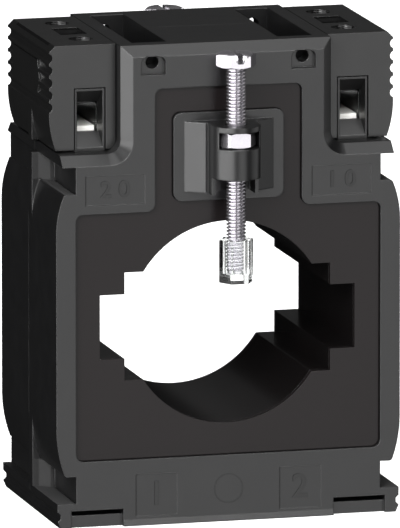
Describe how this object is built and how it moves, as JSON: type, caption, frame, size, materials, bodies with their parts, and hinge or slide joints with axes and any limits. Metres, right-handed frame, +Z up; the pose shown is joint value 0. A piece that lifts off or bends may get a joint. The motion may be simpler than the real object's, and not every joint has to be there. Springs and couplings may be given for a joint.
{
  "type": "current transformer",
  "caption": "Window-type current transformer: two-part black case with a stepped opening for busbars or cable, long clamp screws and covered screw terminals.",
  "frame": {"origin": "centre of the footprint, on the surface that the feet stand on", "axes": "+X to the right seen from the front, +Y from the front face to the back, +Z up"},
  "size_m": [0.07, 0.0648, 0.0955],
  "materials": {
    "case_plastic": "fine matt moulded",
    "cover_plastic": "fine matt moulded",
    "block_plastic": "fine matt moulded",
    "gloss_plastic": "polished",
    "zinc_steel": "bright zinc plated",
    "clear_plastic": "clear moulded",
    "tinned_brass": "tinned",
    "core_steel": "wound strip",
    "insulation_plastic": "moulded",
    "enamelled_wire": "enamelled"
  },
  "bodies": {
    "housing": {"bore_liner": "gloss_plastic", "core": "core_steel", "secondary_winding": "enamelled_wire", "case_front": "case_plastic", "face_plate_front": "gloss_plastic", "insulation_front": "insulation_plastic", "clamp_nut_front": "zinc_steel", "case_rear": "case_plastic", "face_plate_rear": "gloss_plastic", "insulation_rear": "insulation_plastic", "clamp_nut_rear": "zinc_steel", "terminal_block_left": "block_plastic", "cage_left": "tinned_brass", "terminal_bar_left": "tinned_brass", "lead_left": "enamelled_wire", "terminal_block_right": "block_plastic", "cage_right": "tinned_brass", "terminal_bar_right": "tinned_brass", "lead_right": "enamelled_wire"},
    "front_cap": {"screw_cap_front": "clear_plastic"},
    "front_screw": {"clamp_screw_front": "zinc_steel"},
    "rear_cap": {"screw_cap_rear": "clear_plastic"},
    "rear_screw": {"clamp_screw_rear": "zinc_steel"},
    "left_cover": {"terminal_cover_left": "cover_plastic"},
    "left_pad": {"pressure_pad_left": "tinned_brass"},
    "left_terminal_screw": {"terminal_screw_left": "zinc_steel"},
    "right_cover": {"terminal_cover_right": "cover_plastic"},
    "right_pad": {"pressure_pad_right": "tinned_brass"},
    "right_terminal_screw": {"terminal_screw_right": "zinc_steel"}
  },
  "joints": [
    {"name": "front_clamp_feed", "type": "slide", "parent": "housing", "child": "front_cap", "axis": [0, 0, 1], "range_m": [-0.011, 0.012]},
    {"name": "front_clamp_turn", "type": "hinge", "parent": "front_cap", "child": "front_screw", "pos_m": [0, -0.02756, 0.0918], "axis": [0, 0, 1], "range_deg": [-5700, 6200]},
    {"name": "rear_clamp_feed", "type": "slide", "parent": "housing", "child": "rear_cap", "axis": [0, 0, 1], "range_m": [-0.011, 0.012]},
    {"name": "rear_clamp_turn", "type": "hinge", "parent": "rear_cap", "child": "rear_screw", "pos_m": [0, 0.02756, 0.0918], "axis": [0, 0, 1], "range_deg": [-5700, 6200]},
    {"name": "left_cover_lift", "type": "slide", "parent": "housing", "child": "left_cover", "axis": [0, 0, 1], "range_m": [0, 0.024]},
    {"name": "left_terminal_feed", "type": "slide", "parent": "housing", "child": "left_pad", "axis": [0, 0, 1], "range_m": [-0.0034, 0]},
    {"name": "left_terminal_turn", "type": "hinge", "parent": "left_pad", "child": "left_terminal_screw", "pos_m": [-0.02675, 0, 0.0902], "axis": [0, 0, 1], "range_deg": [-2060, 0]},
    {"name": "right_cover_lift", "type": "slide", "parent": "housing", "child": "right_cover", "axis": [0, 0, 1], "range_m": [0, 0.024]},
    {"name": "right_terminal_feed", "type": "slide", "parent": "housing", "child": "right_pad", "axis": [0, 0, 1], "range_m": [-0.0034, 0]},
    {"name": "right_terminal_turn", "type": "hinge", "parent": "right_pad", "child": "right_terminal_screw", "pos_m": [0.02675, 0, 0.0902], "axis": [0, 0, 1], "range_deg": [-2060, 0]}
  ],
  "couplings": [
    {"joint": "front_clamp_turn", "follows": "front_clamp_feed", "rad_per_m": 8976},
    {"joint": "rear_clamp_turn", "follows": "rear_clamp_feed", "rad_per_m": 8976},
    {"joint": "left_terminal_turn", "follows": "left_terminal_feed", "rad_per_m": 10472},
    {"joint": "right_terminal_turn", "follows": "right_terminal_feed", "rad_per_m": 10472}
  ]
}
